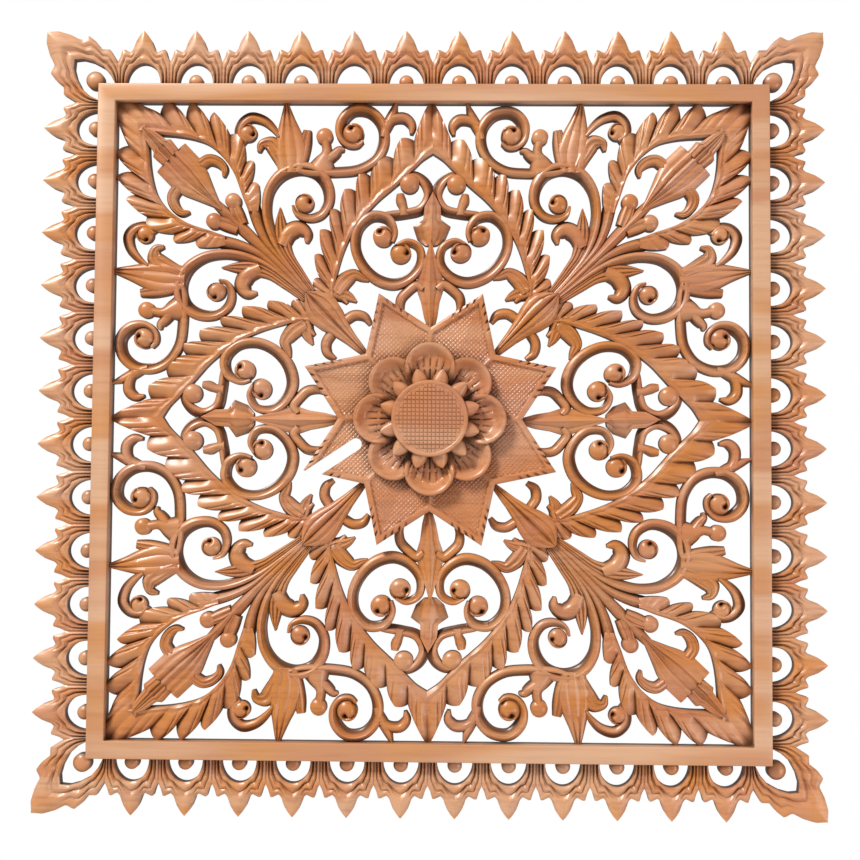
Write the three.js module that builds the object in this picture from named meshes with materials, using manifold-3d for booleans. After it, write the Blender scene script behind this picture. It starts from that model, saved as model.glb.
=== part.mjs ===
// Carved teak wall panel: a square of pierced foliage inside a raised rail, with a fringe of pointed
// leaves around it and a carved lotus on an eight-pointed star in the middle.
//
// Millimetres, +Z up. The panel stands in the XZ plane and faces -Y. Its flat back lies in the plane
// y = 0, and the origin is the middle of the back, where it rests on the wall.
//
// The foliage has the symmetry of the square, so it is drawn once, in the eighth of the square between
// the upright middle line and the diagonal, and repeated by mirroring and quarter turns. Outlines are
// drawn as (x, z) seen from the front, and a solid's depth counts forward from the back.

import * as THREE from 'three';
import * as BufferGeometryUtils from 'three/addons/utils/BufferGeometryUtils.js';
import Module from 'manifold-3d';

const wasm = await Module();
wasm.setup();

// ---- driving dimensions ------------------------------------------------------------------------

const RAIL_HALF = 384; // middle to the outer side of the square rail
const RAIL_WIDTH = 20;
const RAIL_DEPTH = 25; // front of the rail, from the wall
const FRET_DEPTH = 18; // front of the foliage
const FRINGE_DEPTH = 16; // front of the leaf fringe

const FRINGE_MOTIFS = 12; // leaves along one side
const FRINGE_PITCH = 60.8;
const FRINGE_REACH = 65; // rail to leaf tip
const CORNER_REACH = 448; // middle to the tip of a corner leaf, along each side

const GROUND_RADIUS = 79; // solid ground under the lotus
const GROUND_SIDES = 24;
const EYE_TURN = 0.3; // turn of a scroll eye's first corner, in radians

const TOUCH_GAP = 0.3; // left between the lotus and the panel behind it
const CORE_SIDES = 16; // sides of the core that carries the petals
const STAR_POINTS = 8;
const STAR_TIP_RADIUS = 154;
const STAR_NOTCH_RADIUS = 104;
const STAR_DEPTH = 7; // thickness of the star's leaves
const STAR_BORDER = 7; // plain border around a leaf's sunk field
const STAR_SINK = 2;
const PETAL_RADIUS = 28;
const PETAL_RING = 58; // middle of the flower to the middle of a petal
const PETAL_DISH = 7; // depth of a petal's hollow
const PETAL_DEPTH = 11;
const PETAL_TAPER = 4; // how much smaller a petal is at its back
const PETAL_SIDES = 8;
const PETAL_STEP = 1.3; // every second petal lies this much lower
const COLLAR_POINTS = 12; // small pointed petals around the seed disc
const COLLAR_RADIUS = 57;
const COLLAR_DEPTH = 6;
const COLLAR_NOTCH = 10; // from a collar petal's point in to the notch beside it
const SEED_RADIUS = 42;
const SEED_SIDES = 16;
const SEED_CHAMFER = 3;
const FLOWER_TOP = 45; // highest point of the lotus, from the wall

// The split that opens one leaf of the star, from its round inner end to past the leaf's edge.
const SPLIT = { from: [-84, -29], to: [-152, -75], width: 14, endSides: 6 };

const OVERLAP = 1.5; // how far joined shapes run into each other
const INLET = 1; // how far the layers of the lotus run into each other
const FLUSH = 0.4; // how far neighbouring leaves of the fringe run into each other
const WELD = 1e-4; // vertices closer than this are one
const SEAM = 0.05; // seams between joined faces flatter than this are dissolved

// Beads lost from the fringe: [side, place along it], with side 0 the top and places counted from
// the left.
const LOST_BEADS = [[0, 0], [0, 4]];

// ---- outlines ----------------------------------------------------------------------------------

const mirrorX = ([x, y]) => [-x, y];
const mirrorDiagonal = ([x, y]) => [y, x];

/** Regular polygon that stands for a round bead or scroll eye. */
function disc(x, y, radius, sides = 6) {
  return Array.from({ length: sides }, (_, i) => {
    const angle = (2 * Math.PI * i) / sides + EYE_TURN;
    return [x + radius * Math.cos(angle), y + radius * Math.sin(angle)];
  });
}

/** Outline of a band that follows a smooth line through knots [x, y, width]. */
function ribbon(knots) {
  const line = new THREE.SplineCurve(knots.map(([x, y]) => new THREE.Vector2(x, y)));
  const left = [];
  const right = [];
  knots.forEach(([x, y, width], i) => {
    const along = line.getTangent(i / (knots.length - 1));
    left.push([x - (along.y * width) / 2, y + (along.x * width) / 2]);
    right.unshift([x + (along.y * width) / 2, y - (along.x * width) / 2]);
  });
  return [...left, ...right];
}

// ---- foliage of one eighth, from the middle outward ----------------------------------------------

/** Pointed leaf halves that meet over the middle line and frame the heart-shaped scrolls. */
function ogive() {
  return [
    [0, 370], [22, 322], [37, 323], [46, 300], [62, 300], [72, 280], [84, 281],
    [87, 262], [100, 262], [104, 238], [115, 239], [114, 215], [127, 216], [124, 187], [134, 187],
    [129, 160], [136, 158], [134, 138], [112, 138], [110, 165], [93, 207], [0, 307],
  ];
}

/** Small scroll under the point of the ogive, run down into the heart scroll, and its bud. */
function crownScroll() {
  return [
    disc(27, 274, 11),
    ribbon([[27, 282, 9], [8, 274, 12], [6, 249, 13], [22, 238, 11], [56, 237, 10]]),
    [[28, 240], [28, 254], [36, 261], [44, 254], [40, 240]],
  ];
}

/** Large scroll with a bead at each end. */
function heartScroll() {
  return [
    ribbon([
      [44, 216, 9], [53, 234, 11], [74, 230, 12], [86, 206, 12], [79, 180, 13], [57, 160, 14],
      [31, 159, 13], [12, 179, 11], [24, 206, 10],
    ]),
    disc(54, 211, 12),
    disc(33, 192, 13),
  ];
}

/** Half of each of the two spears on the middle line, with the curl at the foot of the lower one. */
function spears() {
  return [
    [[0, 262], [10, 240], [21, 222], [8, 203], [0, 203]],
    [[0, 206], [16, 156], [8, 128], [7, 70], [0, 70]],
    [[14, 158], [37, 143], [36, 122], [28, 122], [26, 139], [10, 148]],
  ];
}

/** Leaf that runs from the heart scroll to the foot of the ogive. */
function scrollTail() {
  return [[76, 166], [98, 173], [96, 161], [113, 152], [113, 134], [87, 137], [87, 152]];
}

/** Half of the calyx leaf on the diagonal, its blunt end outward, and the curl beside it. */
function calyx() {
  return [
    [[48, 48], [60, 70], [82, 102], [103, 134], [114, 143], [143, 143]],
    [[102, 118], [86, 124], [68, 116], [87, 115], [93, 108]],
  ];
}

/** Stems that fan out from the calyx, with the acanthus leaf at the side. */
function stems() {
  return [
    [[134, 134], [134, 148], [160, 188], [178, 208], [193, 203], [204, 204]],
    [
      [158, 182], [160, 208], [145, 200], [137, 212], [140, 227], [163, 228], [172, 241], [183, 210],
    ],
    ribbon([[190, 198, 12], [206, 246, 14], [223, 291, 18]]),
  ];
}

/** Large scroll on its own stem. */
function mainScroll() {
  return [
    ribbon([
      [178, 196, 12], [189, 236, 10], [181, 271, 12], [158, 288, 16], [132, 283, 16], [117, 261, 15],
      [124, 238, 11], [147, 234, 10],
    ]),
    disc(146, 249, 12),
  ];
}

/** Leaf that stands on the large scroll and touches the rail. */
function palmette() {
  return [
    [147, 290], [140, 329], [154, 332], [166, 367], [174, 367], [183, 331], [197, 331], [196, 311],
    [180, 311], [176, 284],
  ];
}

/** Second scroll, against the rail, with the leaves at its root. */
function railScroll() {
  return [
    ribbon([
      [136, 285, 12], [98, 284, 12], [66, 300, 12], [57, 329, 13], [73, 354, 13], [98, 353, 13],
      [107, 331, 13], [96, 317, 12],
    ]),
    disc(92, 327, 13),
    [[112, 288], [102, 308], [114, 321], [128, 321], [130, 307], [146, 290]],
    disc(123, 326, 10),
    [[52, 322], [45, 339], [37, 340], [30, 330], [22, 331], [22, 348], [42, 364], [57, 344]],
  ];
}

/** Leaf half that fills the corner, the small scroll on its back and the leaf and buds inside it. */
function cornerLeaf() {
  return [
    [
      [370, 370], [318, 367], [314, 352], [303, 367], [284, 348], [276, 367], [257, 344], [250, 356],
      [232, 328], [215, 326], [214, 297], [203, 297], [208, 272], [198, 272], [201, 252], [213, 250],
      [228, 286], [252, 315], [278, 324], [330, 324],
    ],
    [[183, 333], [195, 353], [218, 354], [228, 340], [226, 320], [214, 324], [215, 343], [203, 346]],
    disc(212, 331, 11),
    [[184, 184], [193, 203], [212, 226], [224, 246], [240, 254], [252, 252]],
    disc(232, 255, 10, 5),
    [
      [240, 240], [255, 280], [247, 288], [238, 279], [232, 290], [259, 308], [273, 303], [283, 315],
      [290, 308], [299, 322], [332, 332],
    ],
  ];
}

// ---- fringe ------------------------------------------------------------------------------------

/** Leaf of the fringe over its arch, with the rail's outer side as the line y = 0. */
function fringeMotif() {
  const half = FRINGE_PITCH / 2 + FLUSH;
  const side = [[half, -OVERLAP], [half, 28], [19, 41], [9, 47]];
  return [...side, [0, FRINGE_REACH], ...side.map(mirrorX).reverse()];
}

/** Arch that pierces a leaf of the fringe. */
function fringeArch() {
  return [[19, 0], [14, 21], [-14, 21], [-19, 0]];
}

/** Bead on the rail inside an arch. */
function fringeBead() {
  return [[7.5, -OVERLAP], [5, 13], [-5, 13], [-7.5, -OVERLAP]];
}

/** Corner leaf of the fringe, in the panel's own place at the top right. */
function cornerMotif() {
  const start = FRINGE_MOTIFS * FRINGE_PITCH / 2;
  const side = [
    [start, 383], [start, 412], [379, 428], [398, 443], [408, 438], [434, CORNER_REACH],
  ];
  return [[start, start], ...side, [445, 445], ...side.map(mirrorDiagonal).reverse()];
}

/** Bead on the rail's corner inside the teardrop. */
const cornerBead = () => [[382, 382], [382, 394], [389, 401], [399, 399], [401, 389], [394, 382]];

/** Teardrop that pierces the corner leaf. */
function cornerDrop() {
  const side = [[367, RAIL_HALF], [378, 404], [394, 413], [414, 415]];
  return [[367, 367], ...side, ...side.map(mirrorDiagonal).reverse()];
}

// ---- solids ------------------------------------------------------------------------------------

/** Straight prism of an outline, between two depths. */
function prism(outline, front, back = 0) {
  const shape = new THREE.Shape(outline.map(([x, y]) => new THREE.Vector2(x, y)));
  const geometry = new THREE.ExtrudeGeometry(shape, { depth: front - back, bevelEnabled: false });
  return geometry.translate(0, 0, back);
}

/** Closed geometry to manifold solid. */
function solid(geometry) {
  geometry.deleteAttribute('normal');
  geometry.deleteAttribute('uv');
  const merged = BufferGeometryUtils.mergeVertices(geometry, WELD);
  return new wasm.Manifold(new wasm.Mesh({
    numProp: 3,
    vertProperties: new Float32Array(merged.attributes.position.array),
    triVerts: new Uint32Array(merged.index.array),
  }));
}

/** Manifold solid back to a geometry. */
function geometryOf(body) {
  const { vertProperties, triVerts } = body.getMesh();
  const geometry = new THREE.BufferGeometry();
  geometry.setAttribute('position', new THREE.BufferAttribute(vertProperties, 3));
  geometry.setIndex(new THREE.BufferAttribute(triVerts, 1));
  return geometry;
}

const join = (bodies) => bodies.reduce((whole, body) => whole.add(body));
const prisms = (outlines, front) => outlines.map((outline) => solid(prism(outline, front)));

/** Copy of a body that is mirrored across the upright middle line. */
function mirrored(body) {
  const geometry = geometryOf(body);
  const { position } = geometry.attributes;
  for (let i = 0; i < position.count; i++) position.setX(i, -position.getX(i));
  geometry.index.array.reverse();
  return solid(geometry);
}

/** The four quarter turns of a body about the middle. */
function quarterTurns(body) {
  return [0, 1, 2, 3].map((turn) => solid(geometryOf(body).rotateZ((turn * Math.PI) / 2)));
}

/** Pierced foliage in all eight places. */
function foliage() {
  const outlines = [
    ogive(), scrollTail(), palmette(), ...crownScroll(), ...heartScroll(), ...spears(), ...calyx(),
    ...stems(), ...mainScroll(), ...railScroll(), ...cornerLeaf(),
  ];
  const eighth = join(prisms(outlines, FRET_DEPTH));
  return quarterTurns(join([eighth, mirrored(eighth)]));
}

/** Raised square rail. */
function rail() {
  const outer = solid(new THREE.BoxGeometry(2 * RAIL_HALF, 2 * RAIL_HALF, RAIL_DEPTH));
  const opening = 2 * (RAIL_HALF - RAIL_WIDTH);
  const inner = solid(new THREE.BoxGeometry(opening, opening, 2 * RAIL_DEPTH));
  return solid(geometryOf(outer.subtract(inner)).translate(0, 0, RAIL_DEPTH / 2));
}

/** Fringe along one side, at the top, with the corner leaf at its right end. */
function fringeSide(side) {
  const shift = (outline, place) => {
    const middle = (place - (FRINGE_MOTIFS - 1) / 2) * FRINGE_PITCH;
    return outline.map(([x, y]) => [x + middle, y + RAIL_HALF]);
  };
  const places = Array.from({ length: FRINGE_MOTIFS }, (_, place) => place);
  const isLost = (place) => LOST_BEADS.some(([s, p]) => s === side && p === place);
  const leaves = join(prisms([
    ...places.map((place) => shift(fringeMotif(), place)), cornerMotif(),
  ], FRINGE_DEPTH));
  const holes = join(prisms([
    ...places.map((place) => shift(fringeArch(), place)), cornerDrop(),
  ], FRINGE_DEPTH + INLET));
  const beads = places.filter((place) => !isLost(place)).map((place) => shift(fringeBead(), place));
  const body = join([leaves.subtract(holes), ...prisms([...beads, cornerBead()], FRINGE_DEPTH)]);
  return solid(geometryOf(body).rotateZ((-side * Math.PI) / 2));
}

/** The carved slab: foliage, rail, fringe and ground. */
function carvedPanel() {
  const ground = solid(prism(disc(0, 0, GROUND_RADIUS, GROUND_SIDES), FRET_DEPTH));
  return join([...foliage(), ground, rail(), ...[0, 1, 2, 3].map(fringeSide)]).simplify(SEAM);
}

// ---- lotus -------------------------------------------------------------------------------------

const fullTurn = 2 * Math.PI;
const polar = (radius, angle) => [radius * Math.sin(angle), radius * Math.cos(angle)];
const copiesAround = (count, make) => Array.from({ length: count }, (_, i) => make(i));

/** Outline of the eight-pointed star. */
function starOutline() {
  return copiesAround(2 * STAR_POINTS, (i) => {
    const radius = i % 2 === 0 ? STAR_NOTCH_RADIUS : STAR_TIP_RADIUS;
    return polar(radius, (i * fullTurn) / (2 * STAR_POINTS));
  });
}

/** Outline of one leaf's sunk field, inside its plain border. */
function sunkField(index) {
  const middle = ((index + 0.5) * fullTurn) / STAR_POINTS;
  const half = Math.PI / STAR_POINTS - STAR_BORDER / STAR_NOTCH_RADIUS;
  const foot = STAR_NOTCH_RADIUS - STAR_BORDER / 2;
  return [
    polar(SEED_RADIUS, middle), polar(foot, middle - half),
    polar(STAR_TIP_RADIUS - 4 * STAR_BORDER, middle), polar(foot, middle + half),
  ];
}

/** Split through one leaf, as a straight slot with a round end. */
function splitSlot() {
  const [fromX, fromY] = SPLIT.from;
  const [toX, toY] = SPLIT.to;
  const along = Math.atan2(toY - fromY, toX - fromX);
  const reach = SPLIT.width / 2;
  const outline = copiesAround(SPLIT.endSides + 1, (i) => {
    const angle = along + Math.PI / 2 + (Math.PI * i) / SPLIT.endSides;
    return [fromX + reach * Math.cos(angle), fromY + reach * Math.sin(angle)];
  });
  outline.push([toX + reach * Math.sin(along), toY - reach * Math.cos(along)]);
  outline.push([toX - reach * Math.sin(along), toY + reach * Math.cos(along)]);
  return solid(prism(outline, FLOWER_TOP, 0));
}

/** Eight-pointed star of leaves with sunk fields. */
function star(back) {
  const front = back + STAR_DEPTH;
  const body = solid(prism(starOutline(), front, back));
  const sunk = copiesAround(STAR_POINTS, (i) => solid(prism(sunkField(i), front + INLET, front - STAR_SINK)));
  return body.subtract(join(sunk)).subtract(splitSlot());
}

/** Turned solid on the flower's own line, from a profile of [radius, depth]. */
function turned(profile, sides) {
  const points = profile.map(([radius, depth]) => new THREE.Vector2(radius, depth));
  return new THREE.LatheGeometry(points, sides).rotateX(Math.PI / 2);
}

/** Ring of dished petals. */
function petals(back) {
  const rim = PETAL_DEPTH;
  const profile = [[0, 0], [PETAL_RADIUS - PETAL_TAPER, 0], [PETAL_RADIUS, rim], [0, rim - PETAL_DISH]];
  return copiesAround(STAR_POINTS, (i) => {
    const petal = turned(profile, PETAL_SIDES).translate(0, PETAL_RING, back - (i % 2) * PETAL_STEP);
    return solid(petal.rotateZ((i * fullTurn) / STAR_POINTS));
  });
}

/** Pointed collar and the seed disc with its raised rim, above the petals. */
function heart(back) {
  const collar = copiesAround(2 * COLLAR_POINTS, (i) => {
    const radius = i % 2 === 0 ? COLLAR_RADIUS : COLLAR_RADIUS - COLLAR_NOTCH;
    return polar(radius, (i * fullTurn) / (2 * COLLAR_POINTS));
  });
  const collarBack = back + PETAL_DEPTH - PETAL_DISH;
  const collarFront = collarBack + COLLAR_DEPTH;
  const seed = turned([
    [0, collarFront - INLET], [SEED_RADIUS - SEED_CHAMFER, collarFront - INLET],
    [SEED_RADIUS, FLOWER_TOP - SEED_CHAMFER], [SEED_RADIUS - SEED_CHAMFER, FLOWER_TOP], [0, FLOWER_TOP],
  ], SEED_SIDES);
  return [solid(prism(collar, collarFront, collarBack)), solid(seed)];
}

/** The lotus, carved from one block with the star under it. */
function lotusRosette() {
  const back = FRET_DEPTH + TOUCH_GAP;
  const flowerBack = back + STAR_DEPTH - INLET;
  const coreFront = flowerBack + PETAL_DEPTH - PETAL_DISH + INLET;
  const core = solid(prism(disc(0, 0, PETAL_RING, CORE_SIDES), coreFront, back));
  return join([star(back), core, ...petals(flowerBack), ...heart(flowerBack)]).simplify(SEAM);
}

// ---- the assembled panel -----------------------------------------------------------------------

/** Node: a named mesh of varnished teak. */
function node(name, body, colour) {
  const material = new THREE.MeshStandardMaterial({ color: colour, roughness: 0.45, metalness: 0 });
  const mesh = new THREE.Mesh(geometryOf(body), material);
  mesh.name = name;
  return mesh;
}

const panel = new THREE.Group();
panel.rotation.x = Math.PI / 2; // stands the flat outlines upright, front toward -Y
panel.add(node('carved_panel', carvedPanel(), 0xbd7a4c));
panel.add(node('lotus_rosette', lotusRosette(), 0xb9744a));

export default panel;
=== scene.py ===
"""Carved teak wall panel: a pierced square of scrolling foliage with a lotus block at its middle.

Drawings are in millimetres, seen from the front: x to the right, z up, and height forward of the
flat back. Blender's own units are metres, and the front of the panel looks along -Y.
"""

import logging
import math
from dataclasses import dataclass, field
from enum import Enum
from typing import Callable, Iterable, Sequence

import bpy
import numpy as np
from mathutils import Matrix, Vector

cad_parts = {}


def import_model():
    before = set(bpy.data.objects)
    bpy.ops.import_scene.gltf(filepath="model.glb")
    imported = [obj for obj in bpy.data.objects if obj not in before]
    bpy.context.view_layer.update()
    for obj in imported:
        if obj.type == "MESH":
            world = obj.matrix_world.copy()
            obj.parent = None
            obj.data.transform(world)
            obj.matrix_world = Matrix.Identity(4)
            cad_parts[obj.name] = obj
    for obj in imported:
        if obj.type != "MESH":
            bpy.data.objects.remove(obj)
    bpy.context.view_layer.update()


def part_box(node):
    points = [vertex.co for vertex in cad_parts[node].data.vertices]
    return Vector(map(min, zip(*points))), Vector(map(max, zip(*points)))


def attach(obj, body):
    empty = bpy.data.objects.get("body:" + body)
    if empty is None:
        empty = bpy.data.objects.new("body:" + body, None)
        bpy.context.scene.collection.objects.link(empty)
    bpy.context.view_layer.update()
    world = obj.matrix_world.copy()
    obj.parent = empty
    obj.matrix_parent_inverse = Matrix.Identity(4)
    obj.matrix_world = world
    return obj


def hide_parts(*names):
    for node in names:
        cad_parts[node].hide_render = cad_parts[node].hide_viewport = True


logging.basicConfig(level=logging.INFO, format="%(message)s")
log = logging.getLogger("wall_panel")

MM = 0.001

Knots = Sequence[Sequence[float]]
Mirror = Callable[[np.ndarray], np.ndarray]

SIDES = ("top", "right", "bottom", "left")  # clockwise, each a quarter turn on from the one before
RAIL_HALF = 384.0  # middle of the panel to the rail's outer side

FINE = 1.9  # length of a carved facet along an edge
CREASE = 34.0  # edges sharper than this many degrees stay sharp
NARROWEST = 1.2  # ribbons and leaves are at least this wide, so that they stay closed
LOWEST = 2.0  # the carving stays at least this far above the flat back
FULL_RIBBON = 15.0  # a ribbon wider than this is carved no deeper
FULL_LEAF = 30.0  # a leaf narrower than this is carved less deep
CROWDED = 0.45  # how much a ribbon's columns crowd towards its edges, from 0 to 1


# ---------------------------------------------------------------------------------------------
# Curves and small formulas
# ---------------------------------------------------------------------------------------------


def ease(value: np.ndarray, low: float, high: float) -> np.ndarray:
    """Rise smoothly from 0 at low to 1 at high."""
    part = np.clip((value - low) / (high - low), 0.0, 1.0)
    return part * part * (3.0 - 2.0 * part)


def bump(value: np.ndarray, centre: float | np.ndarray, width: float) -> np.ndarray:
    """A round hump of height 1 at centre, about twice width across."""
    return np.exp(-(((value - centre) / width) ** 2))


def path_through(knots: Knots, step: float) -> np.ndarray:
    """Sample a smooth curve that passes through every knot.

    Args:
        knots: Points of any number of coordinates; the first two are the place.
        step: Distance between samples along the curve, in millimetres.

    Returns:
        One row for each sample, with as many columns as a knot has.
    """
    points = np.asarray(knots, float)
    gaps = np.hypot(*np.diff(points[:, :2], axis=0).T)
    reached = np.concatenate(([0.0], np.cumsum(gaps)))
    slopes = np.gradient(points, reached, axis=0)
    where = np.linspace(0.0, reached[-1], max(3, round(reached[-1] / step)) + 1)
    k = np.clip(np.searchsorted(reached, where, side="right") - 1, 0, len(gaps) - 1)
    gap = gaps[k][:, None]
    u = (where - reached[k])[:, None] / gap
    start, end = points[k], points[k + 1]
    bend = gap * (slopes[k] * u * (1 - u) ** 2 - slopes[k + 1] * u**2 * (1 - u))
    return start * (1 - u) ** 2 * (1 + 2 * u) + end * u**2 * (3 - 2 * u) + bend


def along(points: np.ndarray, fractions: np.ndarray) -> np.ndarray:
    """Points at the given fractions of a polyline's length."""
    reached = np.concatenate(([0.0], np.cumsum(np.hypot(*np.diff(points, axis=0).T))))
    return np.stack([np.interp(fractions * reached[-1], reached, c) for c in points.T], axis=1)


def across_diagonal(points: np.ndarray) -> np.ndarray:
    """Mirror points in the corner's diagonal."""
    return points[:, ::-1]


def across_axis(points: np.ndarray) -> np.ndarray:
    """Mirror points in the upright axis."""
    return points * (-1.0, 1.0)


# ---------------------------------------------------------------------------------------------
# Closed solids
# ---------------------------------------------------------------------------------------------


@dataclass
class Solid:
    """A closed solid.

    Attributes:
        points: Corners, a row each: x, z and height, in millimetres.
        faces: Corner numbers of each face, anticlockwise from outside.
    """

    points: np.ndarray
    faces: list[tuple[int, ...]]

    def placed(self, turns: int, mirrored: bool) -> "Solid":
        """Copy the solid to another place of the pattern.

        Args:
            turns: Quarter turns clockwise about the middle.
            mirrored: Whether it is first mirrored in the upright axis.

        Returns:
            The copy.
        """
        x, z, height = self.points.T
        x = -x if mirrored else x
        for _ in range(turns):
            x, z = z, -x
        faces = [face[::-1] for face in self.faces] if mirrored else list(self.faces)
        return Solid(np.stack([x, z, height], axis=1), faces)

    def by_hand(self, amount: float) -> "Solid":
        """Shift the solid a little, by smooth waves over the panel, so that no two repeats are alike.

        Args:
            amount: Largest shift, in millimetres.

        Returns:
            The shifted copy.
        """
        x, z, height = self.points.T
        shift_x = amount * np.sin(z / 37 + x / 61 + 0.4)
        shift_z = amount * np.sin(x / 43 - z / 71 + 1.9)
        return Solid(np.stack([x + shift_x, z + shift_z, height], axis=1), self.faces)

    def made(self, name: str) -> bpy.types.Object:
        """Make the solid an object, in metres.

        Args:
            name: The object's name.

        Returns:
            The object, not yet in any collection.
        """
        x, z, height = (self.points * MM).T
        mesh = bpy.data.meshes.new(name)
        mesh.from_pydata(np.stack([x, -height, z], axis=1).tolist(), [], self.faces)
        return bpy.data.objects.new(name, mesh)


def strip(near: np.ndarray, far: np.ndarray, heights: np.ndarray, columns: np.ndarray,
          back: float = 0.0) -> Solid:
    """Make a strip ruled between two edges, carved on its front, with upright walls and a flat back.

    Args:
        near: One edge's points.
        far: The other edge's points, as many.
        heights: The front's height above the back plane, a row for each ruling.
        columns: Where the columns stand between the edges, from 0 to 1.
        back: Height of the flat back.

    Returns:
        The closed strip.
    """
    ring = np.concatenate([near, far[::-1]])
    following = np.roll(ring, -1, axis=0)
    area = np.sum(ring[:, 0] * following[:, 1] - following[:, 0] * ring[:, 1])
    if area < 0.0:
        near, far, heights, columns = far, near, heights[:, ::-1], 1.0 - columns[::-1]
    n, m = heights.shape
    place = near[:, None, :] * (1.0 - columns)[None, :, None] + far[:, None, :] * columns[None, :, None]
    front = np.concatenate([place, heights[:, :, None]], axis=2).reshape(-1, 3)
    edges = np.stack([near, far], axis=1).reshape(-1, 2)
    rear = np.column_stack([edges, np.full(len(edges), back)])
    faces: list[tuple[int, ...]] = []
    base = n * m
    for i in range(n - 1):
        row, after = i * m, (i + 1) * m
        faces += [(row + j, after + j, after + j + 1, row + j + 1) for j in range(m - 1)]
        b = base + 2 * i
        faces.append((b, b + 1, b + 3, b + 2))
        faces.append((b, b + 2, after, row))
        faces.append((row + m - 1, after + m - 1, b + 3, b + 1))
    faces.append((*range(m), base + 1, base))
    last = (n - 1) * m
    faces.append((*range(last + m - 1, last - 1, -1), base + 2 * n - 2, base + 2 * n - 1))
    return Solid(np.concatenate([front, rear]), faces)


def disc(rings: np.ndarray, back: float = 0.0) -> Solid:
    """Make a round solid from rings about a middle point.

    Args:
        rings: Rings from the middle outwards, anticlockwise: ring, point, then x, z and height.
        back: Height of the flat back.

    Returns:
        The closed solid.
    """
    count, n = rings.shape[:2]
    middle = rings[0].mean(axis=0)
    rear = rings[-1].copy()
    rear[:, 2] = back
    points = np.concatenate([rings.reshape(-1, 3), rear, middle[None]])
    faces: list[tuple[int, ...]] = []
    centre = (count + 1) * n
    for j in range(n):
        k = (j + 1) % n
        faces.append((centre, j, k))
        for i in range(count):
            faces.append((i * n + j, (i + 1) * n + j, (i + 1) * n + k, i * n + k))
    faces.append(tuple(count * n + j for j in range(n - 1, -1, -1)))
    return Solid(points, faces)


def welded(name: str, solids: Iterable[Solid | bpy.types.Object],
           cuts: Iterable[bpy.types.Object] = ()) -> bpy.types.Object:
    """Join solids into one closed mesh, as if carved from one block.

    Args:
        name: The piece's name.
        solids: What is joined.
        cuts: What is taken away afterwards.

    Returns:
        The finished object, at the origin.
    """
    parts = [s.made(f"{name}_part") if isinstance(s, Solid) else s for s in solids]
    piece = parts[0]
    piece.name = name
    move(piece, bpy.context.scene.collection)
    combine(piece, "UNION", parts[1:])
    combine(piece, "DIFFERENCE", list(cuts))
    smoothed(piece)
    piece.data.name = name
    return piece


def combine(piece: bpy.types.Object, operation: str, tools: Sequence[bpy.types.Object]) -> None:
    """Join tools to a piece or cut them from it, and remove them.

    Args:
        piece: The piece that is changed.
        operation: UNION or DIFFERENCE.
        tools: Closed objects.
    """
    if not tools:
        return
    group = bpy.data.collections.new(f"{piece.name}_tools")
    bpy.context.scene.collection.children.link(group)
    for tool in tools:
        move(tool, group)
    select_only(piece)
    bpy.ops.object.modifier_add(type="BOOLEAN")
    joint = piece.modifiers[-1]
    joint.operation = operation
    joint.operand_type = "COLLECTION"
    joint.collection = group
    joint.solver = "MANIFOLD"
    bpy.ops.object.modifier_apply(modifier=joint.name)
    for tool in tools:
        mesh = tool.data
        bpy.data.objects.remove(tool)
        bpy.data.meshes.remove(mesh)
    bpy.data.collections.remove(group)


def move(obj: bpy.types.Object, home: bpy.types.Collection) -> None:
    """Take an object out of every collection and put it in one.

    Args:
        obj: The object.
        home: Where it goes.
    """
    for old in list(obj.users_collection):
        old.objects.unlink(obj)
    home.objects.link(obj)


def smoothed(piece: bpy.types.Object) -> None:
    """Shade a piece smooth, apart from its sharp edges."""
    select_only(piece)
    bpy.ops.object.shade_smooth_by_angle(angle=math.radians(CREASE))


def select_only(obj: bpy.types.Object) -> None:
    """Deselect everything else and make this object the active one.

    Args:
        obj: The object.
    """
    if bpy.context.mode != "OBJECT":
        bpy.ops.object.mode_set(mode="OBJECT")
    bpy.ops.object.select_all(action="DESELECT")
    obj.select_set(True)
    bpy.context.view_layer.objects.active = obj


@dataclass(kw_only=True)
class Carving:
    """Something that builds its own pieces and dresses them.

    Attributes:
        finish: The material that its pieces wear.
        node: The solid node that they replace.
        slot: The material slot of that node; not used.
    """

    finish: bpy.types.Material
    node: str = "carved_panel"
    slot: str = "panel_teak"

    def build(self) -> list[bpy.types.Object]:
        """Make the pieces; each kind of carving has its own way."""
        raise NotImplementedError

    def dress(self, piece: bpy.types.Object) -> None:
        """Give a piece its finish, and say what it rides on and stands for.

        Args:
            piece: The piece.
        """
        piece.data.materials.clear()
        piece.data.materials.append(self.finish)
        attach(piece, "root")
        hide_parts(self.node)

    def finished(self) -> list[bpy.types.Object]:
        """Build the pieces and dress them.

        Returns:
            The pieces.
        """
        pieces = self.build()
        for piece in pieces:
            self.dress(piece)
        return pieces


# ---------------------------------------------------------------------------------------------
# Carved forms
# ---------------------------------------------------------------------------------------------


def scroll_drop(t: np.ndarray) -> np.ndarray:
    """A ridge near the outer edge, then a cove down to the inner one.

    Args:
        t: Place across the ribbon, from 0 to 1.

    Returns:
        The drop at each place.
    """
    outer = np.clip(1 - t / 0.4, 0, 1)
    cove = 1.0 - (1.0 - np.clip((t - 0.4) / 0.6, 0, 1)) ** 1.6
    return 0.16 * outer + 0.16 * outer**6 + 0.72 * cove


def stem_drop(t: np.ndarray) -> np.ndarray:
    """Two slopes that meet in a ridge."""
    return 0.95 * np.abs(t - 0.46) + 0.10 * (np.clip(1 - t / 0.1, 0, 1) + np.clip(1 - (1 - t) / 0.1, 0, 1))


def leaf_drop(t: np.ndarray) -> np.ndarray:
    """Two swelling halves with a vein cut between them."""
    return 0.42 * (2 * t - 1) ** 4 + 0.2 * bump(t, 0.5, 0.08) + 0.1 * bump(t, 0.24, 0.06)


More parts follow.
